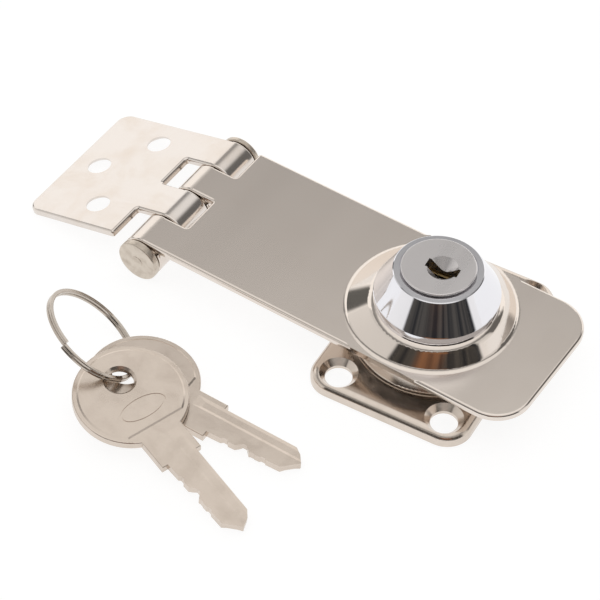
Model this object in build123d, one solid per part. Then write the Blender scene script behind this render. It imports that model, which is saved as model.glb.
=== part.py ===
from build123d import *
import math
import os

# Keyed locking hasp: hinged arm with a domed cylinder lock, staple plate, two keys on a split ring.
# Millimetres. Origin on the mounting plane, under the axis of the lock. +X runs along the arm to its
# free end, +Z points away from the door, the keys lie on the -Y side.

# ---- sheet metal and arm -------------------------------------------------------------------------
SHEET = 1.5                       # thickness of the arm, the leaf and the staple plate
ARM_WIDTH = 38.0
ARM_END_X = 30.0                  # free end of the arm
ARM_CORNER = 8.5
BARREL_R = 5.1                    # outside radius of the rolled knuckles
ARM_TOP = 2 * BARREL_R            # outer face of the arm is tangent to the barrel
ARM_UNDER = ARM_TOP - SHEET
EDGE_ROUND = 0.7
KNUCKLE_ROUND = 0.5               # ends of the rolled knuckles
NEAR = 0.1                        # how close an edge must be to count as lying on a line
INNER_ROUND = 0.6                 # corners of the hinge notches

# ---- hinge ---------------------------------------------------------------------------------------
PIN_X = -65.8
PIN_Z = BARREL_R
BARREL_BORE = BARREL_R - SHEET
PIN_R = BARREL_BORE - 0.06
EDGES = (-19.0, -9.8, 0.1, 9.4, 19.0)    # knuckle boundaries along the pin
KNUCKLE_GAP = 0.3
CURL_SWEEP = 302.0                # turn of the rolled strip round the pin
ARM_NOTCH = 6.1                   # pin axis to the bottom of the notches in the arm
LEAF_NOTCH = 7.2                  # pin axis to the bottom of the notches in the leaf
PIN_HEAD_R = 5.1
HEAD_ROUND = 0.35
REAR_HEAD = (19.25, 20.55)
FRONT_CAP = (-21.1, -19.3)
SPIGOT_R = 1.45
SPIGOT_PROUD = 0.06
LEAF_DROOP = 14.85                # leaf angle below the arm as the hasp lies on a table
LEAF_LENGTH = 33.5                # pin axis to the outer edge
LEAF_CORNER = 3.2
LEAF_HOLE_R = 2.85
LEAF_SINK_R = 4.0
LEAF_LAND = 0.5
LEAF_HOLES = ((17.2, -11.8), (17.2, 11.8), (26.2, 0.0))

# ---- pressed dome of the arm ---------------------------------------------------------------------
DOME_FOOT_R = 18.9
DOME_FOOT_SHIFT = (-1.7, 0.9)        # centre of the foot circle from the lock axis
DOME_CROWN_R = 14.28
DOME_TOP = 15.0
DOME_FOOT_ROUND = 1.3
DOME_CROWN_ROUND = 2.7
CUT = 1.0                         # how far cutting shapes run past the metal

# ---- staple plate --------------------------------------------------------------------------------
STAPLE_YAW = 4.5                  # play between the staple and the arm
STAPLE_X = 38.7
STAPLE_Y = 51.9
STAPLE_SHIFT = 0.5                # staple centre behind the lock axis
STAPLE_EDGE_SHIFT = -0.2          # outline from the middle of the screw holes
STAPLE_H = 3.05
STAPLE_CORNER = 6.0
STAPLE_ROUND = 2.0
STAPLE_HOLE_X = 12.9
STAPLE_HOLE_Y = 20.7
STAPLE_HOLE_R = 3.05
STAPLE_SINK_R = 4.3
STAPLE_SINK_DEPTH = 1.35
STAPLE_LIP_R = 4.45
STAPLE_LIP_Z = 0.9
BOSS_FOOT_R = 17.85
BOSS_CROWN_R = 16.35
BOSS_TOP = 7.6
BOSS_CROWN_ROUND = 2.0
BOSS_FOOT_ROUND = 0.35
BOSS_STEP_R = 18.45
BOSS_STEP_H = 0.2
CAM_SLOT_L = 24.0
CAM_SLOT_W = 8.4

# ---- lock housing --------------------------------------------------------------------------------
PLUG_YAW = 6.0
RIM_R = 9.95
RIM_TOP = 24.2
CONE_FOOT_R = 13.9
CONE_FOOT_Z = 17.35
SKIRT_Z = 15.7
FLANGE_FOOT_R = 13.3
BODY_R = 9.5
BODY_FLAT = 8.3
BODY_CHAMFER = 0.3
RIM_CHAMFER = (0.2, 0.15)         # radial, axial
CONE_FOOT_CHAMFER = (0.12, 0.15)
RECESS_R = 8.62
RECESS_Z = 23.35
BORE_R = 6.06
CLIP_POCKET_R = 7.9
CLIP_POCKET_Z = BOSS_TOP + 1.0
CLIP_GROOVE_R = 5.2               # floor of the groove in the plug
CLIP_GROOVE_EDGE = 0.15
CLIP_R = (5.25, 7.5)
CLIP_GAP = 60.0                   # opening of the clip, degrees
GROOVE_R = 7.3
GROOVE_W = 5.3
GROOVE_Z = (10.5, 22.15)
STOP_R = (6.65, 8.0)
STOP_DEPTH = 0.9
STOP_START = 45.0
STOP_HALF = 6.0
LUG_HALF = 5.5
THROW = 90.0
RUN = 0.1                         # clearance round the stop lug and the clip

# ---- plug, wafers, cam ---------------------------------------------------------------------------
DISC_R = 8.27
DISC_TOP = 25.0
DISC_LOW = 23.4
DISC_ROUND = 0.3
PLUG_R = 6.0
PLUG_END = BOSS_TOP + 0.1
KEYWAY_X = 0.9
KEYWAY_L = 7.5
KEYWAY_W = 2.4
KEYWAY_END = 9.6
DIMPLE_R = 3.45
DIMPLE_DEPTH = 2.2
NECK_R = 3.2
CAM_TOP = 5.9
CAM_T = 2.0
CAM_L = 22.4
CAM_W = 6.2
TAIL_SQUARE = 4.4
TAIL_END = 4.0
SCREW_R = 1.22
SCREW_END = 9.0
SCREW_HEAD_R = 3.0
SCREW_HEAD_H = 1.3
SCREW_HEAD_ROUND = 0.5
RECESS = (3.2, 0.7, 0.8)          # cross recess: length, width, depth
CAM_HOLE_PLAY = 0.05
SCREW_PLAY = 0.02
WASHER_T = 0.4
WASHER_R = (1.3, 3.1)
WASHER_GAP = 20.0
WAFER_TOP_Z = 21.4
WAFER_PITCH = 2.5
WAFER_COUNT = 5
WAFER_T = 1.1
WAFER_PLAY = 0.03                 # tumblers end this far inside the plug
WAFER_W = 4.9
WAFER_WINDOW_L = 7.75
WAFER_WINDOW_W = 2.7
SLOT_W = 5.1
SLOT_T = 1.2
SPRING_Y = (2.55, 3.95)
SPRING_END_X = 3.2
SPRING_R = 0.4
SPRING_WIRE = 0.1
SPRING_COILS = 5
SPRING_PLAY = 0.15                # free space at each end of a coil
LUG_X = (1.2, 2.2)

# ---- nut and washer ------------------------------------------------------------------------------
DOME_UNDER = DOME_TOP - SHEET
STAR_T = 0.7
STAR_R = 12.1
STAR_TEETH = 16
STAR_NOTCH = (1.1, 1.4)           # depth, width
NUT_FLATS = 22.0
NUT_T = 2.8
NUT_CORNER_CUT = 1.2              # corners turned off beyond the flats
NUT_PLAY = 0.05

# ---- keys and ring -------------------------------------------------------------------------------
KEY_T = 1.8
BOW_R = 12.6
BOW_PANEL_R = 11.6
BOW_PANEL_X = 9.2
RELIEF = 0.2
RELIEF_TAPER = 62.0               # slope of the panel edge, degrees from upright
BLANK_ROUND = 0.3                 # rounded edges of the blank
OVAL_X = 4.5
OVAL_R = (2.7, 5.6)
OVAL_LINE = 0.5
KEY_HOLE_X = -4.2
KEY_HOLE_R = 3.15
KEY_HOLE_CHAMFER = 0.5
SHANK_X = 19.0
SHANK_Y = (-5.2, 4.8)
BLADE_Y = (-3.8, 3.5)
KEY_TIP_X = 40.1
KEY_TIP_BEVEL = (3.3, 0.9)        # length and height of the sloping edge on the cut side
KEY_TIP_Y = 0.4
KEY_TIP_END = (1.45, 2.45)        # end of the blunt edge, back from the tip and across
KEY_TIP_CORNER = 3.0              # start of the bevel on the back edge
KEY_CUTS = ((23.4, 0.7), (27.7, 1.7), (30.2, 0.7), (32.7, 1.0), (35.2, 0.8))
CUT_FLAT = 0.9
CUT_RUN = 0.6                     # cuts are drawn this far past the edge
KEY_GROOVE_Y = (1.35, 2.85)       # flat floor of the groove
KEY_GROOVE_SLOPE = 0.7
KEY_GROOVE_DEPTH = 0.22
KEY_GROOVE_STEP = 3.4             # groove of the lower face, sideways from the upper one
KEY_GROOVE_START = 12.3
KEY_GROOVE_RUN_IN = 6.0           # slope of the end of the groove, degrees
KEY_GROOVE_LEAD = 2.5
FRONT_KEY = ((-43.151, -53.873, 5.069), -18.474, 7.245)    # bow centre on the underside, heading, fall
BACK_KEY = ((-44.649, -47.728, 2.37), 2.229, 3.36)
RING_CENTRE = (-58.545, -46.802, 9.066)
RING_TILT = 43.159
RING_HEADING = 49.458
RING_R = 11.85
RING_WIRE_H = 0.7
RING_WIRE_W = 1.0
RING_WIRE_ROUND = 0.2
RING_PITCH = 0.74
RING_TURNS = 2
RING_END_ANGLE = 215.0


def disc(radius, z_low, z_high, x=0.0, y=0.0):
    """Upright cylinder between two heights."""
    return Pos(x, y, z_low) * extrude(Circle(radius), z_high - z_low)


def block(x_low, x_high, y_low, y_high, z_low, z_high):
    """Box between limits."""
    size = (x_high - x_low, y_high - y_low, z_high - z_low)
    centre = ((x_high + x_low) / 2, (y_high + y_low) / 2, (z_high + z_low) / 2)
    return Pos(*centre) * Box(*size)


def turned(points):
    """Solid of revolution about Z from a closed (radius, z) outline."""
    outline = Polyline(*[(r, 0, z) for r, z in points], close=True)
    return revolve(make_face(outline), Axis.Z)


def sector(r_low, r_high, z_low, z_high, angle, sweep_angle):
    """Part of a ring, starting at an angle and turning anticlockwise."""
    corners = ((r_low, z_low), (r_high, z_low), (r_high, z_high), (r_low, z_high))
    outline = Polyline(*[(r, 0, z) for r, z in corners], close=True)
    return Rot(0, 0, angle) * revolve(make_face(outline), Axis.Z, sweep_angle)


def lying(shape):
    """Turn a shape built round Z so that its axis lies along Y."""
    return Rot(90, 0, 0) * shape


def pressed(foot_r, crown_r, foot_z, top_z, foot_round, crown_round, floor):
    """Everything under a pressed dome: foot fillet, sloping wall, rounded crown, flat top."""
    wall = math.atan2(top_z - foot_z, foot_r - crown_r)
    foot_len = foot_round * math.tan(wall / 2)
    crown_len = crown_round * math.tan(wall / 2)
    reach = foot_r + foot_len
    points = {
        "axis_low": (0, 0, floor),
        "edge_low": (reach, 0, floor),
        "foot_a": (reach, 0, foot_z),
        "foot_m": (
            reach - foot_round * math.sin(wall / 2),
            0,
            foot_z + foot_round * (1 - math.cos(wall / 2)),
        ),
        "foot_b": (foot_r - foot_len * math.cos(wall), 0, foot_z + foot_len * math.sin(wall)),
        "crown_a": (crown_r + crown_len * math.cos(wall), 0, top_z - crown_len * math.sin(wall)),
        "crown_m": (
            crown_r - crown_len + crown_round * math.sin(wall / 2),
            0,
            top_z - crown_round * (1 - math.cos(wall / 2)),
        ),
        "crown_b": (crown_r - crown_len, 0, top_z),
        "axis_high": (0, 0, top_z),
    }
    outline = [
        Line(points["axis_low"], points["edge_low"]),
        Line(points["edge_low"], points["foot_a"]),
        ThreePointArc(points["foot_a"], points["foot_m"], points["foot_b"]),
        Line(points["foot_b"], points["crown_a"]),
        ThreePointArc(points["crown_a"], points["crown_m"], points["crown_b"]),
        Line(points["crown_b"], points["axis_high"]),
        Line(points["axis_high"], points["axis_low"]),
    ]
    return revolve(make_face(Wire(outline)), Axis.Z)


def skewed(foot_r, crown_r, foot_z, top_z, foot_round, crown_round, floor):
    """Everything under the dome of the arm: like pressed, but its foot is off the axis of its crown."""
    plate = disc(foot_r + 2 * foot_round, floor, foot_z, *DOME_FOOT_SHIFT)
    foot = Pos(*DOME_FOOT_SHIFT, foot_z) * Circle(foot_r)
    crown = Pos(0, 0, top_z) * Circle(crown_r)
    form = plate + loft([foot, crown], ruled=True)
    top = form.edges().group_by(Axis.Z)[-1]
    form = fillet(top, crown_round)
    low = [e for e in form.edges() if abs(e.center().Z - foot_z) < NEAR]
    low = [e for e in low if e.length < 2 * math.pi * (foot_r + foot_round)]
    low = [e for e in low if e.bounding_box().size.Z < NEAR]
    return fillet(low, foot_round)


def shell_offset(foot_r, crown_r, rise):
    """Foot and crown radii of the inner face of a dome, one sheet thickness inside the outer one."""
    wall = math.atan2(rise, foot_r - crown_r)
    shift = SHEET * math.tan(wall / 2)
    return foot_r - shift, crown_r - shift


def double_d(radius, flat, z_low, z_high):
    """Cylinder with two flats facing +Y and -Y."""
    return disc(radius, z_low, z_high) & block(-radius, radius, -flat, flat, z_low, z_high)


def hinge_strip(length, notch, knuckles, notches, corner):
    """Flat sheet with rolled knuckles about the Y axis, running to +X from the top of the barrel."""
    half = ARM_WIDTH / 2
    sheet = block(0, length, -half, half, BARREL_BORE, BARREL_R)
    for low, high in notches:
        y_low = low - KNUCKLE_GAP / 2 if low > -half else low - CUT
        y_high = high + KNUCKLE_GAP / 2 if high < half else high + CUT
        sheet -= block(-CUT, notch, y_low, y_high, 0, BARREL_R + CUT)
    ends = [e for e in sheet.edges().filter_by(Axis.Z) if e.center().X > length - NEAR]
    sheet = fillet(ends, corner)
    inner = [e for e in sheet.edges().filter_by(Axis.Z) if abs(e.center().X - notch) < NEAR]
    sheet = fillet(inner, INNER_ROUND)
    rim = [e for e in sheet.edges().group_by(Axis.Z)[-1] if e.center().X > NEAR]
    sheet = fillet(rim, EDGE_ROUND)
    for low, high in knuckles:
        y_low = low + KNUCKLE_GAP / 2 if low > -half else low
        y_high = high - KNUCKLE_GAP / 2 if high < half else high
        sheet += lying(sector(BARREL_BORE, BARREL_R, -y_high, -y_low, 90, CURL_SWEEP))
    arcs = sheet.edges().filter_by(GeomType.CIRCLE)
    ends = [e for e in arcs if abs(e.radius - BARREL_R) < NEAR]
    return fillet(ends, KNUCKLE_ROUND)


def hasp_arm():
    """Arm with its two knuckles and the pressed dome that carries the lock."""
    knuckles = ((EDGES[0], EDGES[1]), (EDGES[2], EDGES[3]))
    notches = ((EDGES[1], EDGES[2]), (EDGES[3], EDGES[4]))
    strip = hinge_strip(ARM_END_X - PIN_X, ARM_NOTCH, knuckles, notches, ARM_CORNER)
    arm = Pos(PIN_X, 0, PIN_Z) * strip
    rise = DOME_TOP - ARM_TOP
    outer = skewed(
        DOME_FOOT_R, DOME_CROWN_R, ARM_TOP, DOME_TOP, DOME_FOOT_ROUND, DOME_CROWN_ROUND, ARM_UNDER
    )
    in_foot, in_crown = shell_offset(DOME_FOOT_R, DOME_CROWN_R, rise)
    inner = skewed(
        in_foot,
        in_crown,
        ARM_UNDER,
        DOME_UNDER,
        DOME_FOOT_ROUND + SHEET,
        DOME_CROWN_ROUND - SHEET,
        ARM_UNDER - CUT,
    )
    half = ARM_WIDTH / 2
    dome = outer & block(-ARM_WIDTH, ARM_WIDTH, -half, half, 0, DOME_TOP)
    arm -= disc(DOME_FOOT_R + 2 * DOME_FOOT_ROUND, ARM_UNDER - CUT, ARM_TOP + CUT, *DOME_FOOT_SHIFT)
    arm += dome
    arm -= inner
    arm -= double_d(BODY_R + RUN, BODY_FLAT + RUN, ARM_UNDER, DOME_TOP + CUT)
    return arm


def hinge_leaf():
    """Short leaf with three screw holes, hanging a little below the line of the arm."""
    knuckles = ((EDGES[1], EDGES[2]), (EDGES[3], EDGES[4]))
    notches = ((EDGES[0], EDGES[1]), (EDGES[2], EDGES[3]))
    leaf = hinge_strip(LEAF_LENGTH, LEAF_NOTCH, knuckles, notches, LEAF_CORNER)
    for x, y in LEAF_HOLES:
        leaf -= disc(LEAF_HOLE_R, 0, BARREL_R + CUT, x, y)
        depth = SHEET - LEAF_LAND
        leaf -= Pos(x, y, BARREL_BORE + depth / 2) * Cone(LEAF_SINK_R, LEAF_HOLE_R, depth)
    leaf = mirror(leaf, about=Plane.YZ)
    return Pos(PIN_X, 0, PIN_Z) * Rot(0, -LEAF_DROOP, 0) * leaf


def hinge_pin():
    """Pin with a solid head at the back and a spigot at the front that is riveted over the cap."""
    head = fillet(disc(PIN_HEAD_R, -REAR_HEAD[1], -REAR_HEAD[0]).edges(), HEAD_ROUND)
    rod = disc(PIN_R, -REAR_HEAD[0], -FRONT_CAP[1])
    spigot = disc(SPIGOT_R, -FRONT_CAP[1], -FRONT_CAP[0] + SPIGOT_PROUD)
    return Pos(PIN_X, 0, PIN_Z) * lying(head + rod + spigot)


def pin_end_cap():
    """Disc pressed on the front end of the pin."""
    cap = fillet(disc(PIN_HEAD_R, -FRONT_CAP[1], -FRONT_CAP[0]).edges(), HEAD_ROUND)
    cap -= disc(SPIGOT_R, -FRONT_CAP[1] - CUT, -FRONT_CAP[0] + CUT)
    return Pos(PIN_X, 0, PIN_Z) * lying(cap)


def staple_plate():
    """Shallow tray with four dimpled screw holes and a round boss with the slot for the cam."""
    tray = extrude(RectangleRounded(STAPLE_X, STAPLE_Y, STAPLE_CORNER), STAPLE_H)
    tray = fillet(tray.edges().group_by(Axis.Z)[-1], STAPLE_ROUND)
    hollow_x = STAPLE_X - 2 * SHEET
    hollow_y = STAPLE_Y - 2 * SHEET
    tray -= extrude(RectangleRounded(hollow_x, hollow_y, STAPLE_CORNER - SHEET), STAPLE_H - SHEET)
    tray = Pos(STAPLE_EDGE_SHIFT, 0, 0) * tray
    tray += disc(BOSS_STEP_R, STAPLE_H - SHEET, STAPLE_H + BOSS_STEP_H)
    foot_z = STAPLE_H + BOSS_STEP_H
    tray += pressed(
        BOSS_FOOT_R,
        BOSS_CROWN_R,
        foot_z,
        BOSS_TOP,
        BOSS_FOOT_ROUND,
        BOSS_CROWN_ROUND,
        STAPLE_H - SHEET,
    )
    in_foot, in_crown = shell_offset(BOSS_FOOT_R, BOSS_CROWN_R, BOSS_TOP - foot_z)
    tray -= pressed(
        in_foot,
        in_crown,
        STAPLE_H - SHEET,
        BOSS_TOP - SHEET,
        BOSS_FOOT_ROUND,
        BOSS_CROWN_ROUND - SHEET,
        -CUT,
    )
    tray -= extrude(SlotOverall(CAM_SLOT_L, CAM_SLOT_W), BOSS_TOP + CUT)
    for x in (-STAPLE_HOLE_X, STAPLE_HOLE_X):
        for y in (-STAPLE_HOLE_Y, STAPLE_HOLE_Y):
            tray += disc(STAPLE_LIP_R, STAPLE_LIP_Z, STAPLE_H - SHEET, x, y)
            tray -= disc(STAPLE_HOLE_R, -CUT, STAPLE_H + CUT, x, y)
            cone_z = STAPLE_H - STAPLE_SINK_DEPTH / 2
            tray -= Pos(x, y, cone_z) * Cone(STAPLE_HOLE_R, STAPLE_SINK_R, STAPLE_SINK_DEPTH)
            tray -= disc(STAPLE_SINK_R, STAPLE_H, STAPLE_H + CUT, x, y)
    return Rot(0, 0, STAPLE_YAW) * Pos(0, STAPLE_SHIFT, 0) * tray


def lock_housing():
    """Chrome cone with a flat rim, threaded body with two flats, bore and wafer grooves."""
    body = turned(
        (
            (BORE_R, CLIP_POCKET_Z),
            (CLIP_POCKET_R, CLIP_POCKET_Z),
            (CLIP_POCKET_R, BOSS_TOP),
            (BODY_R - BODY_CHAMFER, BOSS_TOP),
            (BODY_R, BOSS_TOP + BODY_CHAMFER),
            (BODY_R, DOME_TOP),
            (FLANGE_FOOT_R, DOME_TOP),
            (CONE_FOOT_R, SKIRT_Z),
            (CONE_FOOT_R, CONE_FOOT_Z - CONE_FOOT_CHAMFER[1]),
            (CONE_FOOT_R - CONE_FOOT_CHAMFER[0], CONE_FOOT_Z),
            (RIM_R, RIM_TOP - RIM_CHAMFER[1]),
            (RIM_R - RIM_CHAMFER[0], RIM_TOP),
            (RECESS_R, RIM_TOP),
            (RECESS_R, RECESS_Z),
            (BORE_R, RECESS_Z),
        )
    )
    for side in (-1, 1):
        low, high = sorted((side * BODY_FLAT, side * (BODY_R + CUT)))
        body -= block(-BODY_R - CUT, BODY_R + CUT, low, high, 0, DOME_TOP)
    for angle in (0, 90, 180, 270):
        groove = block(PLUG_R - CUT, GROOVE_R, -GROOVE_W / 2, GROOVE_W / 2, GROOVE_Z[0], GROOVE_Z[1])
        body -= Rot(0, 0, PLUG_YAW + angle) * groove
    start = PLUG_YAW + STOP_START - STOP_HALF
    body -= sector(
        STOP_R[0], STOP_R[1], RECESS_Z - STOP_DEPTH, RECESS_Z + RUN, start, THROW + 2 * STOP_HALF
    )
    return body


def wafer_heights():
    """Mid height of each tumbler, from the keyhole inwards."""
    return [WAFER_TOP_Z - WAFER_PITCH * i for i in range(WAFER_COUNT)]


def lock_plug():
    """Turning core: face disc, keyway, wafer slots, stop lug, clip groove, neck and square tail."""
    plug = fillet(disc(DISC_R, DISC_LOW, DISC_TOP).edges().group_by(Axis.Z)[-1], DISC_ROUND)
    plug += disc(PLUG_R, PLUG_END, DISC_LOW)
    plug += sector(
        STOP_R[0] + RUN,
        STOP_R[1] - RUN,
        RECESS_Z - STOP_DEPTH + RUN,
        DISC_LOW + RUN,
        STOP_START - LUG_HALF,
        2 * LUG_HALF,
    )
    plug += disc(NECK_R, CAM_TOP, PLUG_END)
    half = TAIL_SQUARE / 2
    plug += block(-half, half, -half, half, TAIL_END, CAM_TOP)
    groove_low = PLUG_END + CLIP_GROOVE_EDGE
    plug -= sector(CLIP_GROOVE_R, PLUG_R + CUT, groove_low, CLIP_POCKET_Z, 0, 360)
    plug -= disc(SCREW_R + SCREW_PLAY, TAIL_END - CUT, SCREW_END + RUN)
    for z in wafer_heights():
        low, high = z - SLOT_T / 2, z + SLOT_T / 2
        plug -= block(-PLUG_R - CUT, PLUG_R + CUT, -SLOT_W / 2, SLOT_W / 2, low, high)
        plug -= block(-SPRING_END_X, SPRING_END_X, SPRING_Y[0] - RUN, SPRING_Y[1], low, high)
    x_low, x_high = KEYWAY_X - KEYWAY_L / 2, KEYWAY_X + KEYWAY_L / 2
    plug -= block(x_low, x_high, -KEYWAY_W / 2, KEYWAY_W / 2, KEYWAY_END, DISC_TOP + CUT)
    dimple = Cone(DIMPLE_R - DIMPLE_DEPTH, DIMPLE_R, DIMPLE_DEPTH)
    plug -= Pos(KEYWAY_X, 0, DISC_TOP - DIMPLE_DEPTH / 2) * dimple
    return Rot(0, 0, PLUG_YAW) * plug


def wafer(index):
    """Flat tumbler with a window for the blade and a lug for its spring."""
    side = 1 if index % 2 == 0 else -1
    z = wafer_heights()[index]
    low, high = z - WAFER_T / 2, z + WAFER_T / 2
    plate = block(-PLUG_R, PLUG_R, -WAFER_W / 2, WAFER_W / 2, low, high)
    lug_x = sorted((side * LUG_X[0], side * LUG_X[1]))
    plate += block(lug_x[0], lug_x[1], 0, SPRING_Y[1] - SPRING_PLAY, low, high)
    plate &= disc(PLUG_R - WAFER_PLAY, low, high)
    half = WAFER_WINDOW_L / 2
    plate -= block(
        KEYWAY_X - half, KEYWAY_X + half, -WAFER_WINDOW_W / 2, WAFER_WINDOW_W / 2, low, high
    )
    return Rot(0, 0, PLUG_YAW) * plate


def wafer_springs():
    """One small coil beside each tumbler."""
    coils = []
    length = SPRING_END_X + LUG_X[0] - 2 * SPRING_PLAY
    for index, z in enumerate(wafer_heights()):
        side = 1 if index % 2 == 0 else -1
        path = Helix(pitch=length / SPRING_COILS, height=length, radius=SPRING_R)
        section = Plane(origin=path @ 0, z_dir=path % 0) * Circle(SPRING_WIRE)
        coil = sweep(section, path=path, is_frenet=True)
        centre_y = (SPRING_Y[0] + SPRING_Y[1]) / 2
        start_x = -SPRING_END_X + SPRING_PLAY if side > 0 else SPRING_END_X - SPRING_PLAY - length
        coils.append(Rot(0, 0, PLUG_YAW) * Pos(start_x, centre_y, z) * Rot(0, 90, 0) * coil)
    return Compound(children=coils)


def plug_clip():
    """Open ring in the groove of the plug, keeps it in the housing."""
    low = PLUG_END + 2 * CLIP_GROOVE_EDGE
    high = CLIP_POCKET_Z - RUN
    return sector(CLIP_R[0], CLIP_R[1], low, high, CLIP_GAP / 2, 360 - CLIP_GAP)


def star_washer():
    """Toothed washer between the dome and the nut."""
    ring = disc(STAR_R, DOME_UNDER - STAR_T, DOME_UNDER) - disc(BODY_R + RUN, 0, DOME_TOP)
    for i in range(STAR_TEETH):
        half = STAR_NOTCH[1] / 2
        notch = block(STAR_R - STAR_NOTCH[0], STAR_R + CUT, -half, half, 0, DOME_TOP)
        ring -= Rot(0, 0, 360 / STAR_TEETH * i) * notch
    return ring


def lock_nut():
    """Hexagon nut that clamps the arm against the flange."""
    top = DOME_UNDER - STAR_T
    hexagon = extrude(RegularPolygon(NUT_FLATS / math.sqrt(3), 6), NUT_T)
    nut = Pos(0, 0, top - NUT_T) * hexagon & disc(NUT_FLATS / 2 + NUT_CORNER_CUT, 0, DOME_TOP)
    return nut - disc(BODY_R + NUT_PLAY, 0, DOME_TOP)


def locking_cam():
    """Bar with a square hole: passes the slot of the staple, then turns across it."""
    bar = Pos(0, 0, CAM_TOP - CAM_T) * extrude(SlotOverall(CAM_L, CAM_W), CAM_T)
    half = TAIL_SQUARE / 2 + CAM_HOLE_PLAY
    bar -= block(-half, half, -half, half, 0, CAM_TOP + CUT)
    return Rot(0, 0, PLUG_YAW) * bar


def cam_washer():
    """Split washer under the head of the cam screw."""
    top = CAM_TOP - CAM_T
    return sector(WASHER_R[0], WASHER_R[1], top - WASHER_T, top, WASHER_GAP / 2, 360 - WASHER_GAP)


def cam_screw():
    """Pan head screw with a cross recess."""
    head_top = CAM_TOP - CAM_T - WASHER_T
    head = disc(SCREW_HEAD_R, head_top - SCREW_HEAD_H, head_top)
    head = fillet(head.edges().group_by(Axis.Z)[0], SCREW_HEAD_ROUND)
    low = head_top - SCREW_HEAD_H
    arm, half, depth = RECESS[0] / 2, RECESS[1] / 2, RECESS[2]
    head -= block(-arm, arm, -half, half, low, low + depth)
    head -= block(-half, half, -arm, arm, low, low + depth)
    return head + disc(SCREW_R, head_top, SCREW_END)


def key_blade():
    """Blade outline with its cuts, seen from above."""
    low, high = BLADE_Y
    tip = KEY_TIP_X
    outline = Polyline(
        (SHANK_X - CUT, low),
        (tip - KEY_TIP_BEVEL[0], low + KEY_TIP_BEVEL[1]),
        (tip, KEY_TIP_Y),
        (tip - KEY_TIP_END[0], KEY_TIP_END[1]),
        (tip - KEY_TIP_CORNER, high),
        (SHANK_X - CUT, high),
        close=True,
    )
    blade = make_face(outline)
    for x, depth in KEY_CUTS:
        flat = CUT_FLAT / 2
        floor = low + depth
        cut = Polyline(
            (x - flat - depth - CUT_RUN, low - CUT_RUN),
            (x - flat, floor),
            (x + flat, floor),
            (x + flat + depth + CUT_RUN, low - CUT_RUN),
            close=True,
        )
        blade -= make_face(cut)
    return extrude(blade, KEY_T)


def key_relief():
    """Raised panel of the bow with a sunk oval line."""
    half = BOW_R
    panel = Circle(BOW_PANEL_R) & Pos(BOW_PANEL_X - half, 0) * Rectangle(2 * half, 2 * half)
    relief = extrude(panel, RELIEF, taper=RELIEF_TAPER)
    outer = extrude(Ellipse(OVAL_R[0], OVAL_R[1]), RELIEF)
    inner = extrude(Ellipse(OVAL_R[0] - OVAL_LINE, OVAL_R[1] - OVAL_LINE), RELIEF)
    return relief - Pos(OVAL_X, 0, RELIEF / 4) * (outer - inner)


def key_channel():
    """Shallow groove with sloping sides, cut from above at z = 0, running out past the tip."""
    low, high = KEY_GROOVE_Y
    depth, slope = KEY_GROOVE_DEPTH, KEY_GROOVE_SLOPE
    section = Polyline(
        (0, low - slope, 0),
        (0, low, -depth),
        (0, high, -depth),
        (0, high + slope, 0),
        close=True,
    )
    length = KEY_TIP_X + CUT - KEY_GROOVE_START
    channel = extrude(make_face(section), length, dir=(1, 0, 0))
    run_in = Pos(0, (low + high) / 2, 0) * Rot(0, KEY_GROOVE_RUN_IN, 0) * Box(
        2 * KEY_GROOVE_LEAD, 2 * high, KEY_T, align=(Align.CENTER, Align.CENTER, Align.MAX)
    )
    return Pos(KEY_GROOVE_START, 0, 0) * (channel - run_in)


def key():
    """Key lying flat on z = 0, bow centred on the origin, blade to +X, cuts on the -Y side."""
    blank = disc(BOW_R, 0, KEY_T)
    blank += block(0, SHANK_X, SHANK_Y[0], SHANK_Y[1], 0, KEY_T)
    blank += key_blade()
    edges = [e for e in blank.edges().group_by(Axis.Z)[-1] if e.center().X < SHANK_X + NEAR]
    body = fillet(edges, BLANK_ROUND)
    channel = key_channel()
    body -= Pos(0, 0, KEY_T) * channel
    body -= Pos(0, -KEY_GROOVE_STEP, 0) * mirror(channel, about=Plane.XY)
    body += Pos(0, 0, KEY_T) * key_relief()
    body -= disc(KEY_HOLE_R, -CUT, KEY_T + CUT, KEY_HOLE_X, 0)
    wide = KEY_HOLE_R + KEY_HOLE_CHAMFER
    mouth = Cone(wide, KEY_HOLE_R, KEY_HOLE_CHAMFER)
    body -= Pos(KEY_HOLE_X, 0, KEY_HOLE_CHAMFER / 2) * mouth
    top = KEY_T + RELIEF - KEY_HOLE_CHAMFER / 2
    return body - Pos(KEY_HOLE_X, 0, top) * Rot(180, 0, 0) * mouth


def placed_key(placement):
    """Key resting with its tip on the table and its bow on whatever lies below."""
    centre, heading, fall = placement
    return Pos(*centre) * Rot(0, 0, heading) * Rot(0, fall, 0) * key()


def ring_frame():
    """Plane of the split ring, its X direction towards the lowest point."""
    tilt = math.radians(RING_TILT)
    heading = math.radians(RING_HEADING)
    normal = (
        math.sin(tilt) * math.cos(heading),
        math.sin(tilt) * math.sin(heading),
        math.cos(tilt),
    )
    downhill = (
        math.cos(tilt) * math.cos(heading),
        math.cos(tilt) * math.sin(heading),
        -math.sin(tilt),
    )
    return Plane(origin=RING_CENTRE, x_dir=downhill, z_dir=normal)


def split_ring():
    """Two flat turns of wire."""
    height = RING_PITCH * RING_TURNS
    path = Helix(pitch=RING_PITCH, height=height, radius=RING_R)
    profile = Plane(origin=path @ 0, x_dir=(1, 0, 0), z_dir=path % 0)
    section = profile * RectangleRounded(RING_WIRE_W, RING_WIRE_H, RING_WIRE_ROUND)
    wire = sweep(section, path=path, is_frenet=True)
    coil = Pos(0, 0, -height / 2) * wire
    return ring_frame().location * Rot(0, 0, RING_END_ANGLE) * coil


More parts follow.
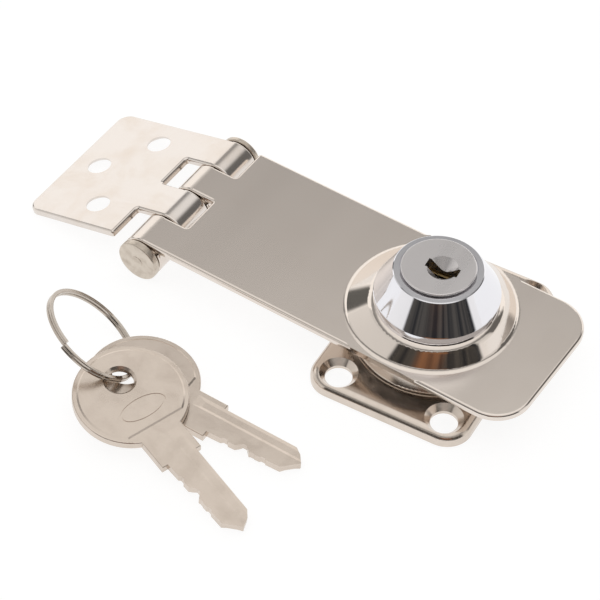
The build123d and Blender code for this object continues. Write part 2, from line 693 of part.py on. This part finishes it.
def all_parts():
    parts = {
        "staple_plate": staple_plate(),
        "hasp_arm": hasp_arm(),
        "hinge_leaf": hinge_leaf(),
        "hinge_pin": hinge_pin(),
        "pin_end_cap": pin_end_cap(),
        "lock_housing": lock_housing(),
        "lock_plug": lock_plug(),
        "wafer_springs": wafer_springs(),
        "plug_clip": plug_clip(),
        "star_washer": star_washer(),
        "lock_nut": lock_nut(),
        "locking_cam": locking_cam(),
        "cam_washer": cam_washer(),
        "cam_screw": cam_screw(),
        "key_front": placed_key(FRONT_KEY),
        "key_back": placed_key(BACK_KEY),
        "split_ring": split_ring(),
    }
    for index in range(WAFER_COUNT):
        parts[f"wafer_{index + 1}"] = wafer(index)
    return parts


os.makedirs("parts", exist_ok=True)
for name, shape in all_parts().items():
    export_step(shape, f"parts/{name}.step")
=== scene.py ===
"""Looks of the hasp and staple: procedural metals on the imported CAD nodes, a white tent, and the camera.

Lengths are metres. Places in the surroundings are azimuths and heights in degrees as seen from the object,
with azimuth 0 along +X. Colours are linear red, green, blue.
"""
import math

import bpy
from mathutils import Matrix, Vector

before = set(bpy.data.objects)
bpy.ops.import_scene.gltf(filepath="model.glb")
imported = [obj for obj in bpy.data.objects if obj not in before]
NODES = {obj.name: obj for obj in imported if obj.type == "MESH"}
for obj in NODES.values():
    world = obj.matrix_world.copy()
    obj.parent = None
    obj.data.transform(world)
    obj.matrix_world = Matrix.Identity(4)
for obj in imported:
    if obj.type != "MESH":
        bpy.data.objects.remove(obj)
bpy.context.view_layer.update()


# ---- shader graphs -------------------------------------------------------------------------------
class Graph:
    """Short way of writing the node tree of a material or world, from empty."""

    def __init__(self, block):
        block.use_nodes = True
        self.tree = block.node_tree
        self.tree.nodes.clear()

    def add(self, kind, inputs=None, **props):
        node = self.tree.nodes.new(kind)
        for key, value in props.items():
            setattr(node, key, value)
        for key, value in (inputs or {}).items():
            self.put(node, key, value)
        return node

    def put(self, node, key, value):
        socket = node.inputs[key]
        if isinstance(value, bpy.types.NodeSocket):
            self.tree.links.new(value, socket)
        else:
            socket.default_value = value

    def math(self, op, a, b=0.0, clamp=False):
        node = self.add("ShaderNodeMath", {0: a, 1: b}, operation=op)
        node.use_clamp = clamp
        return node.outputs[0]

    def times(self, a, b):
        return self.math("MULTIPLY", a, b)

    def plus(self, a, b):
        return self.math("ADD", a, b)

    def noise(self, vector, scale, detail=4.0, rough=0.55, distortion=0.0):
        node = self.add("ShaderNodeTexNoise", {"Vector": vector, "Scale": scale, "Detail": detail,
                                               "Roughness": rough, "Distortion": distortion})
        return node.outputs["Fac"]

    def ramp(self, value, low, high, to_low=0.0, to_high=1.0):
        """Smooth step from to_low at low to to_high at high."""
        node = self.add("ShaderNodeMapRange", {"Value": value, "From Min": low, "From Max": high,
                                               "To Min": to_low, "To Max": to_high})
        node.interpolation_type = "SMOOTHSTEP"
        return node.outputs["Result"]

    def fade(self, value, start, end):
        """1 below start, 0 above end."""
        return self.ramp(value, start, end, 1.0, 0.0)

    def window(self, value, rise, fall):
        """1 between two limits with soft sides: rise and fall are (start, end) pairs."""
        return self.times(self.ramp(value, *rise), self.fade(value, *fall))

    def mix(self, fac, a, b):
        node = self.add("ShaderNodeMix", data_type="RGBA")
        for index, value in ((0, fac), (6, a), (7, b)):
            self.put(node, index, value)
        return node.outputs[2]

    def scaled(self, coords, scale, angle=0.0):
        turned = {"Vector": coords, "Scale": scale, "Rotation": (0, 0, angle)}
        return self.add("ShaderNodeMapping", turned).outputs[0]


def opaque(colour):
    return (*colour, 1)


# ---- metals --------------------------------------------------------------------------------------
# noise settings are (detail, roughness, distortion); a pair is where a mask starts and where it is full
CLOUD_NOISE = (5.0, 0.6, 0.4)
CLOUD_MASK = (0.42, 0.72)
GRAIN_NOISE = (3.0, 0.6)
GRAIN_MASK = (0.3, 0.7)
GRAIN_HEIGHT = 0.000012
GRAIN_BUMP = 0.5
SPECK_SCALE = 1700.0
SPECK_DETAIL = 2.0
SMEAR_STRETCH = 0.10            # wiped streaks follow the grain, ten times as coarse
SMEAR_DETAIL = 3.0
SMEAR_MASK = (0.3, 0.7)
STAIN_GLOSS = 0.4               # a stained spot is rougher by this part of the roughness
FLAT_TOP = (0.96, 0.995)        # upward part of the normal where satin_top comes in

SCRATCH_STRETCH = (90.0, 700.0, 90.0)
SCRATCH_ANGLE = 0.7
SCRATCH_NOISE = (1.0, 0.4, 1.2)
SCRATCH_WIDTH = 0.006           # as a part of the range of the noise
SCRATCH_GAIN = 1.22             # a scratch is brighter than the base by this
SCRATCH_BREAKS = (0.25, 0.6, 0.3, 1.0)      # specks that break the line: mask, then strength at each end
PATCH_SCALE = 95.0              # the patches that hold scratches
PATCH_DETAIL = 2.0
PATCH_MASK = (0.52, 0.66)
NOISE_MIDDLE = 0.5


def scratch_mask(g, where, speck):
    """Thin broken lines, in patches."""
    wave = g.noise(g.scaled(where, SCRATCH_STRETCH, SCRATCH_ANGLE), 1.0, *SCRATCH_NOISE)
    from_middle = g.math("ABSOLUTE", g.math("SUBTRACT", wave, NOISE_MIDDLE))
    patchy = g.ramp(g.noise(where, PATCH_SCALE, PATCH_DETAIL), *PATCH_MASK)
    worn = g.times(g.fade(from_middle, 0.0, SCRATCH_WIDTH), patchy)
    return g.times(worn, g.ramp(speck, *SCRATCH_BREAKS))


def metal(name, base, dark, rough, grain=(900, 60, 900), depth=0.4, pits=0.0, stain=0.3,
          stain_scale=70.0, spread=0.35, scratches=0.35, hairlines=0.25, satin_top=0.0):
    """Bare or plated metal: soft stains, directional grain, pits and a few fine bright scratches.

    satin_top makes faces that look straight up rougher than the pressed and bent ones round them.
    """
    material = bpy.data.materials.new(name)
    g = Graph(material)
    place = g.add("ShaderNodeTexCoord")
    where = place.outputs["Object"]
    cloud = g.noise(where, stain_scale, *CLOUD_NOISE)
    fine = g.noise(g.scaled(where, grain), 1.0, *GRAIN_NOISE)
    speck = g.noise(where, SPECK_SCALE, SPECK_DETAIL)
    smear = g.noise(g.scaled(where, tuple(s * SMEAR_STRETCH for s in grain)), 1.0, SMEAR_DETAIL)

    stained = g.times(g.ramp(cloud, *CLOUD_MASK), stain)
    lined = g.times(g.ramp(fine, *GRAIN_MASK), hairlines)
    tone = g.math("ADD", stained, lined, clamp=True)
    bright = tuple(min(1.0, c * SCRATCH_GAIN) for c in base)
    colour = g.mix(tone, opaque(base), opaque(dark))
    colour = g.mix(g.times(scratch_mask(g, where, speck), scratches), colour, opaque(bright))

    gloss = g.plus(rough, g.times(g.ramp(smear, *SMEAR_MASK), rough * spread))
    gloss = g.plus(gloss, g.times(tone, rough * STAIN_GLOSS))
    if satin_top:
        normal = g.add("ShaderNodeSeparateXYZ", {0: place.outputs["Normal"]})
        gloss = g.plus(gloss, g.times(g.ramp(normal.outputs[2], *FLAT_TOP), satin_top))

    relief = g.plus(g.times(fine, depth), g.times(speck, pits))
    bump = g.add("ShaderNodeBump", {"Strength": GRAIN_BUMP, "Distance": GRAIN_HEIGHT, "Height": relief})
    shader = g.add("ShaderNodeBsdfPrincipled", {"Base Color": colour, "Metallic": 1.0,
                                                "Roughness": gloss, "Normal": bump.outputs[0]})
    g.add("ShaderNodeOutputMaterial", {"Surface": shader.outputs[0]})
    return material


STEEL = metal("stainless_sheet", (0.77, 0.70, 0.64), (0.68, 0.61, 0.55), 0.08, depth=0.015,
              stain=0.25, spread=0.15, hairlines=0.05, scratches=0.12, satin_top=0.13)
LEAF_STEEL = metal("stainless_leaf", (0.77, 0.72, 0.68), (0.70, 0.61, 0.53), 0.12, depth=0.15,
                   stain=0.6, hairlines=0.06)
STAPLE_STEEL = metal("stainless_staple", (0.70, 0.62, 0.55), (0.52, 0.45, 0.38), 0.15, depth=0.2,
                     hairlines=0.12)
PIN_STEEL = metal("pin_steel", (0.67, 0.60, 0.52), (0.48, 0.41, 0.34), 0.26,
                  grain=(600, 600, 600), pits=0.6, stain=0.6, stain_scale=420.0)
CHROME = metal("lock_chrome", (0.83, 0.825, 0.86), (0.74, 0.74, 0.77), 0.05, depth=0.03,
               stain=0.15, hairlines=0.08, scratches=0.1, satin_top=0.05)
PLUG_CHROME = metal("plug_satin", (0.69, 0.665, 0.665), (0.61, 0.59, 0.58), 0.22, depth=0.03,
                    stain=0.35, stain_scale=180.0, hairlines=0.08, scratches=0.0)
BRASS = metal("wafer_brass", (0.70, 0.52, 0.24), (0.58, 0.42, 0.18), 0.3)
SPRING = metal("spring_steel", (0.42, 0.42, 0.43), (0.33, 0.33, 0.34), 0.3)
ZINC = metal("zinc_steel", (0.52, 0.53, 0.54), (0.42, 0.43, 0.44), 0.33, pits=0.4)
KEY_NICKEL = metal("key_nickel", (0.68, 0.595, 0.52), (0.57, 0.49, 0.42), 0.20,
                   grain=(260, 260, 260), depth=0.25, pits=0.2, stain=0.5, stain_scale=130.0)
RING_STEEL = metal("ring_steel", (0.58, 0.52, 0.46), (0.36, 0.31, 0.26), 0.12,
                   grain=(300, 300, 300))

FINISHES = (
    (STEEL, ("hasp_arm",)),
    (LEAF_STEEL, ("hinge_leaf",)),
    (STAPLE_STEEL, ("staple_plate",)),
    (PIN_STEEL, ("hinge_pin", "pin_end_cap")),
    (CHROME, ("lock_housing",)),
    (PLUG_CHROME, ("lock_plug",)),
    (BRASS, ("wafer_1", "wafer_2", "wafer_3", "wafer_4", "wafer_5")),
    (SPRING, ("wafer_springs", "plug_clip")),
    (ZINC, ("star_washer", "lock_nut", "locking_cam", "cam_washer", "cam_screw")),
    (KEY_NICKEL, ("key_front", "key_back")),
    (RING_STEEL, ("split_ring",)),
)
for finish, names in FINISHES:
    for name in names:
        NODES[name].data.materials.clear()
        NODES[name].data.materials.append(finish)


# ---- floor ---------------------------------------------------------------------------------------
FLOOR_HALF = 3.0
FLOOR_GAP = 0.00002             # keeps the floor just under the plates that lie on it
PAPER_GREY = (0.22, 0.22, 0.22)
PAPER_GLOW = 0.86               # lifts the paper to the white of the photo


def paper():
    material = bpy.data.materials.new("paper")
    g = Graph(material)
    shade = g.add("ShaderNodeBsdfDiffuse", {"Color": opaque(PAPER_GREY)})
    glow = g.add("ShaderNodeEmission", {"Color": (1.0, 1.0, 1.0, 1), "Strength": PAPER_GLOW})
    both = g.add("ShaderNodeAddShader", {0: shade.outputs[0], 1: glow.outputs[0]})
    g.add("ShaderNodeOutputMaterial", {"Surface": both.outputs[0]})
    return material


def lay_floor():
    mesh = bpy.data.meshes.new("floor")
    signs = ((-1, -1), (1, -1), (1, 1), (-1, 1))
    mesh.from_pydata([(x * FLOOR_HALF, y * FLOOR_HALF, 0) for x, y in signs], [], [(0, 1, 2, 3)])
    mesh.materials.append(paper())
    floor = bpy.data.objects.new("floor", mesh)
    floor.location.z = -FLOOR_GAP
    bpy.context.scene.collection.objects.link(floor)


lay_floor()


# ---- surroundings: a white tent with a dark opening on the camera side ---------------------------
TENT_TINT = (1.0, 0.985, 0.965)
SKIRT_LIGHT, SEAM_LIGHT = 1.18, 0.34        # bright skirt, dim seam above it
SKIRT_TO_SEAM = (34.0, 38.5)
ROOF_RISES = ((45.0, 55.0, 0.62), (62.0, 80.0, 0.1))        # start, end, light added
SKIRT_FADE = (34.0, 41.0)                   # the dimmed sides of the skirt end here
DIM_SIDES = (((-182.0, -181.0), (-112.0, -100.0)), ((-8.0, 4.0), (52.0, 70.0)))
DIM_BY = (-5.0, 34.0, 0.20, 0.45)           # heights, then the light taken off at each

# azimuth (rise, fall), height (rise, fall) and colour of the patches on the tent
PANEL = (((26.0, 33.0), (60.0, 70.0)), ((6.0, 12.0), (43.0, 49.0)))
PANEL_COLOUR = (0.16, 0.155, 0.15)          # grey panel behind the free end of the arm
STRIP = (((156.0, 161.0), (175.0, 181.0)), ((-3.0, -1.0), (13.0, 17.0)))
STRIP_COLOUR = (0.14, 0.14, 0.135)          # low dark strip on the hinge side

OPENING = -53.0                             # azimuth of the middle of the opening
OPENING_HALF = 57.0
OPENING_EDGE = 2.5
OPENING_TOP = (32.0, 36.0)
ROOM_DARK, ROOM_LIGHT = (0.020, 0.021, 0.024), (0.085, 0.078, 0.07)
STREAKS = (0.09, 0.012)                     # upright streaks: noise steps per degree across and up
STREAK_DETAIL = 3.0
STREAK_MASK = (0.4, 0.62)
WARM = (((-84.0, -70.0), (-44.0, -34.0)), ((10.5, 14.5), (28.0, 34.0)))
WARM_COLOUR = (0.30, 0.14, 0.07)            # warm things in the room behind the camera
WARM_STREAKS = (0.3, 0.6, 0.3, 1.0)         # mask, then strength at each end


class Surroundings(Graph):
    """World graph that paints by azimuth and height."""

    def __init__(self, world):
        super().__init__(world)
        direction = self.add("ShaderNodeTexCoord").outputs["Generated"]
        across, along, up = self.add("ShaderNodeSeparateXYZ", {0: direction}).outputs
        to_degrees = math.degrees(1.0)
        self.azimuth = self.times(self.math("ARCTAN2", along, across), to_degrees)
        self.height = self.times(self.math("ARCSINE", up), to_degrees)

    def patch(self, sides, ends):
        return self.times(self.window(self.azimuth, *sides), self.window(self.height, *ends))

    def tent(self):
        light = self.ramp(self.height, *SKIRT_TO_SEAM, SKIRT_LIGHT, SEAM_LIGHT)
        for start, end, added in ROOF_RISES:
            light = self.plus(light, self.ramp(self.height, start, end, 0.0, added))
        aside = self.plus(*(self.window(self.azimuth, *sides) for sides in DIM_SIDES))
        aside = self.times(aside, self.ramp(self.height, *DIM_BY))
        light = self.math("SUBTRACT", light, self.times(aside, self.fade(self.height, *SKIRT_FADE)))
        channels = {index: self.times(light, tint) for index, tint in enumerate(TENT_TINT)}
        return self.add("ShaderNodeCombineColor", channels).outputs[0]

    def opening(self):
        off_centre = self.math("ABSOLUTE", self.math("SUBTRACT", self.azimuth, OPENING))
        side = self.fade(off_centre, OPENING_HALF - OPENING_EDGE, OPENING_HALF + OPENING_EDGE)
        return self.times(side, self.fade(self.height, *OPENING_TOP))

    def room(self):
        """What shows through the opening: dark, with upright streaks and a warm patch."""
        at = self.add("ShaderNodeCombineXYZ", {0: self.times(self.azimuth, STREAKS[0]),
                                               1: self.times(self.height, STREAKS[1]), 2: 0.0})
        streak = self.noise(at.outputs[0], 1.0, STREAK_DETAIL)
        colour = self.mix(self.ramp(streak, *STREAK_MASK), opaque(ROOM_DARK), opaque(ROOM_LIGHT))
        warmth = self.times(self.patch(*WARM), self.ramp(streak, *WARM_STREAKS))
        return self.mix(warmth, colour, opaque(WARM_COLOUR))


def light_scene():
    world = bpy.data.worlds.new("studio")
    bpy.context.scene.world = world
    g = Surroundings(world)
    sky = g.mix(g.patch(*PANEL), g.tent(), opaque(PANEL_COLOUR))
    sky = g.mix(g.patch(*STRIP), sky, opaque(STRIP_COLOUR))
    sky = g.mix(g.opening(), sky, g.room())
    back = g.add("ShaderNodeBackground", {"Color": sky, "Strength": 1.0})
    g.add("ShaderNodeOutputWorld", {"Surface": back.outputs[0]})


light_scene()


# ---- camera --------------------------------------------------------------------------------------
AZIMUTH, ELEVATION, ROLL = 33.58, 48.17, 0.55       # degrees, azimuth 0 looks along +Y
TARGET = Vector((-0.02698, -0.01301, 0.00923))
DISTANCE = 0.53655
SENSOR_WIDTH = 36.0                                 # millimetres
FOCAL_WIDTHS = 4.0677                               # focal length over sensor width
CLIP_NEAR, CLIP_FAR = 0.01, 20.0


def place_camera():
    side, rise = math.radians(AZIMUTH), math.radians(ELEVATION)
    toward = Vector((math.sin(side) * math.cos(rise), -math.cos(side) * math.cos(rise), math.sin(rise)))
    lens = bpy.data.cameras.new("camera")
    lens.sensor_width = SENSOR_WIDTH
    lens.lens = SENSOR_WIDTH * FOCAL_WIDTHS
    lens.clip_start = CLIP_NEAR
    lens.clip_end = CLIP_FAR
    camera = bpy.data.objects.new("camera", lens)
    bpy.context.scene.collection.objects.link(camera)
    camera.rotation_mode = "QUATERNION"
    camera.location = TARGET + toward * DISTANCE
    roll = Matrix.Rotation(math.radians(ROLL), 4, "Z").to_quaternion()
    camera.rotation_quaternion = (-toward).to_track_quat("-Z", "Y") @ roll
    bpy.context.scene.camera = camera


place_camera()
bpy.context.scene.view_settings.view_transform = "Standard"
bpy.context.scene.view_settings.look = "None"
